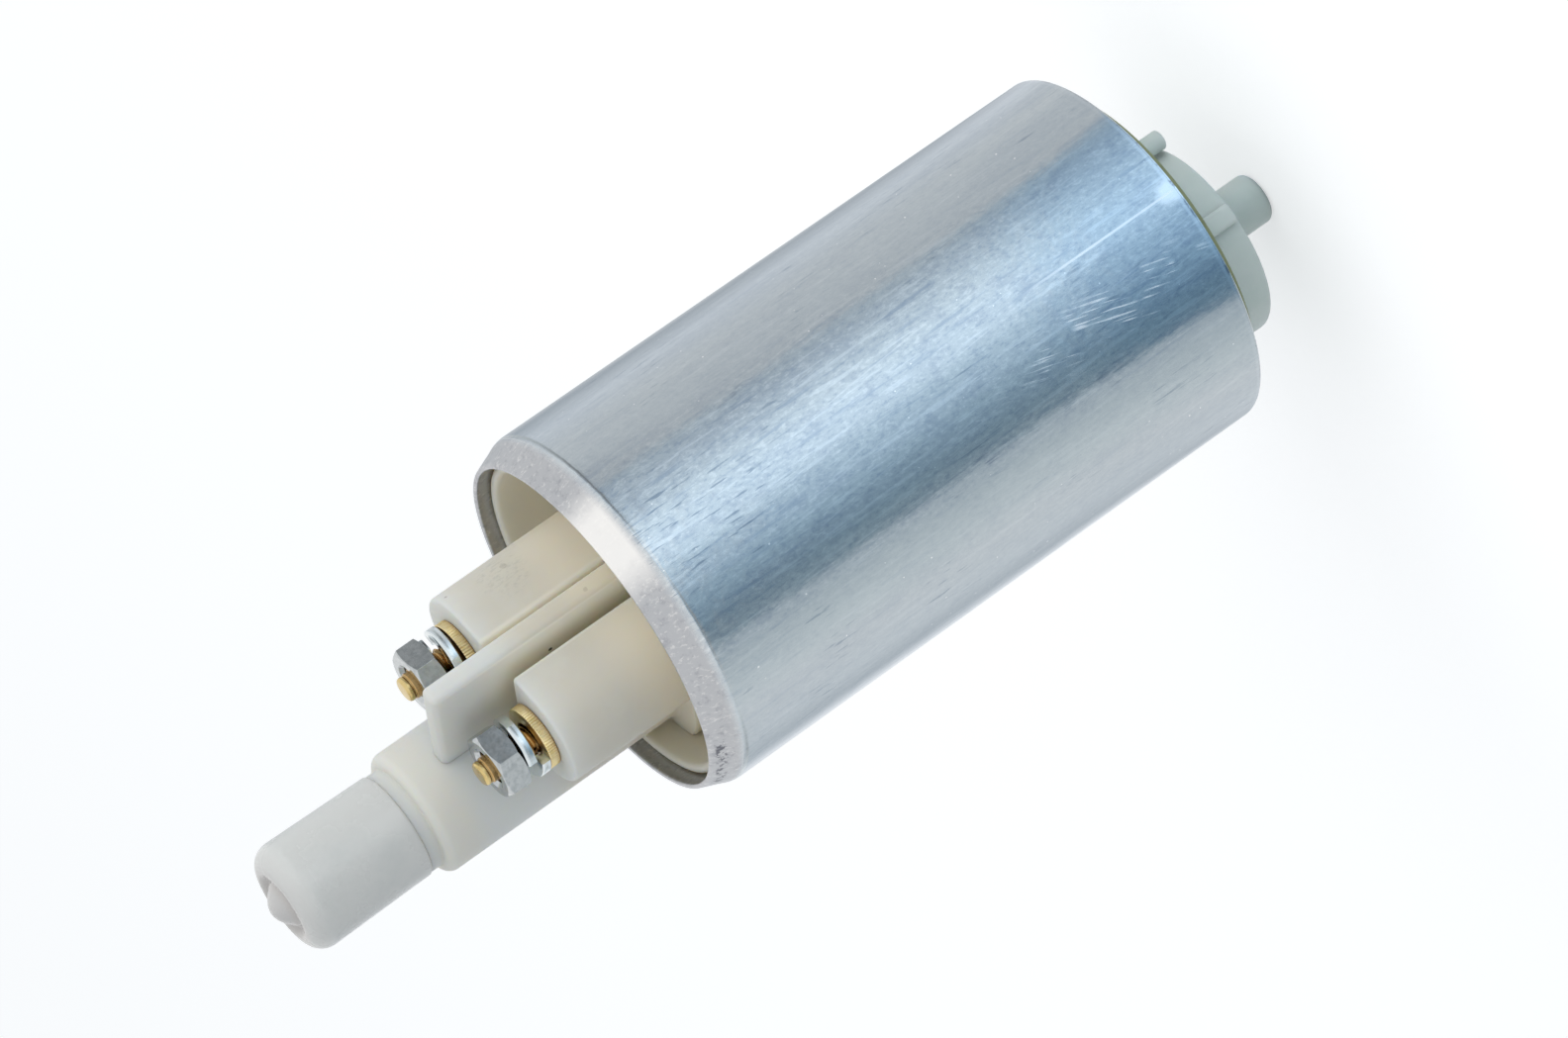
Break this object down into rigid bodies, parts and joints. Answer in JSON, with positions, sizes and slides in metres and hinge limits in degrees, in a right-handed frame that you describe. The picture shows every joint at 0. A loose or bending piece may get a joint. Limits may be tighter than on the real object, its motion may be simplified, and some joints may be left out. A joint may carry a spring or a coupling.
{
  "type": "in-tank fuel pump",
  "caption": "Cylindrical electric fuel pump with a metal can, a plastic outlet cover with stud terminals and a capped outlet tube, and an offset strainer boss at the inlet.",
  "frame": {"origin": "on the pump's axis, at the middle of the can's straight wall", "axes": "+Z along the pump's axis from the inlet end up to the outlet end; +X from the negative to the positive terminal; the outlet tube stands on the -Y side"},
  "size_m": [0.043, 0.043, 0.1306],
  "materials": {
    "can": "zinc plated, drawn along the axis, satin",
    "outlet_cover": "ivory moulded acetal, satin",
    "outlet_cap": "grey-white soft vinyl, glossy",
    "stud": "turned brass thread",
    "contact_disc": "fine knurl",
    "washer": "zinc plated",
    "nut": "bright nickel plate",
    "inlet_cover": "greenish-white moulding, slightly translucent",
    "inlet_seal": "yellow-green rubber",
    "outlet_seal": "black rubber",
    "magnet": "sintered ferrite, matt",
    "clip": "blued spring steel",
    "shaft": "ground",
    "core": "stacked laminations",
    "insulator": "green epoxy",
    "winding": "enamelled copper wire",
    "hub": "brown phenolic moulding",
    "commutator": "turned copper with brush tracks",
    "brush": "pressed carbon",
    "spring": "drawn spring wire",
    "lead": "braided copper",
    "bearing": "sintered bronze",
    "plate": "ground sintered steel",
    "rotor_ring": "sintered steel",
    "outer_rotor": "sintered steel",
    "inner_rotor": "sintered steel, ground faces",
    "coupling": "tan moulded plastic",
    "screw": "plated steel",
    "valve_seat": "turned brass",
    "poppet": "white moulded plastic",
    "ball": "polished steel ball"
  },
  "bodies": {
    "pump_body": {"can": "can", "outlet_cover": "outlet_cover", "positive_stud": "stud", "negative_stud": "stud", "contact_discs": "contact_disc", "spring_washers": "washer", "terminal_nuts": "nut", "inlet_cover": "inlet_cover", "inlet_seal": "inlet_seal", "outlet_seal": "outlet_seal", "magnet_north": "magnet", "magnet_south": "magnet", "magnet_clips": "clip", "positive_brush_spring": "spring", "negative_brush_spring": "spring", "positive_brush_lead": "lead", "negative_brush_lead": "lead", "upper_bearing": "bearing", "lower_bearing": "bearing", "bearing_plate": "plate", "rotor_ring": "rotor_ring", "port_plate": "plate", "plate_screws": "screw", "check_valve_seat": "valve_seat", "check_valve_spring": "spring", "check_valve_guide": "poppet", "relief_valve_seat": "valve_seat", "relief_valve_spring": "spring"},
    "armature": {"motor_shaft": "shaft", "armature_core": "core", "slot_insulators": "insulator", "armature_windings": "winding", "commutator_hub": "hub", "commutator_bars": "commutator", "thrust_washers": "washer", "drive_coupling": "coupling", "inner_rotor": "inner_rotor"},
    "pump_outer_rotor": {"outer_rotor": "outer_rotor"},
    "brush_positive": {"positive_brush": "brush"},
    "brush_negative": {"negative_brush": "brush"},
    "check_poppet": {"check_valve_poppet": "poppet"},
    "relief_ball": {"relief_valve_ball": "ball"},
    "transport_cap": {"outlet_cap": "outlet_cap"}
  },
  "joints": [
    {"name": "armature_spin", "type": "hinge", "parent": "pump_body", "child": "armature", "pos_m": [0, 0, 0], "axis": [0, 0, 1], "continuous": true},
    {"name": "outer_rotor_spin", "type": "hinge", "parent": "pump_body", "child": "pump_outer_rotor", "pos_m": [0, 0.0015, -0.023], "axis": [0, 0, 1], "continuous": true},
    {"name": "positive_brush_slide", "type": "slide", "parent": "pump_body", "child": "brush_positive", "axis": [0, 0, 1], "range_m": [0, 0.003], "stiffness_N_per_m": 150, "springref_m": -0.008, "deforming": ["positive_brush_spring", "positive_brush_lead"]},
    {"name": "negative_brush_slide", "type": "slide", "parent": "pump_body", "child": "brush_negative", "axis": [0, 0, 1], "range_m": [0, 0.003], "stiffness_N_per_m": 150, "springref_m": -0.008, "deforming": ["negative_brush_spring", "negative_brush_lead"]},
    {"name": "check_valve_lift", "type": "slide", "parent": "pump_body", "child": "check_poppet", "axis": [0, 0, 1], "range_m": [0, 0.002], "stiffness_N_per_m": 100, "springref_m": -0.004, "deforming": ["check_valve_spring"]},
    {"name": "relief_valve_lift", "type": "slide", "parent": "pump_body", "child": "relief_ball", "axis": [0, 0, 1], "range_m": [0, 0.001], "stiffness_N_per_m": 500, "springref_m": -0.006, "deforming": ["relief_valve_spring"]},
    {"name": "outlet_cap_pull", "type": "slide", "parent": "pump_body", "child": "transport_cap", "axis": [0, 0, 1], "range_m": [0, 0.018]}
  ],
  "couplings": [
    {"joint": "outer_rotor_spin", "follows": "armature_spin", "ratio": 0.85714}
  ]
}
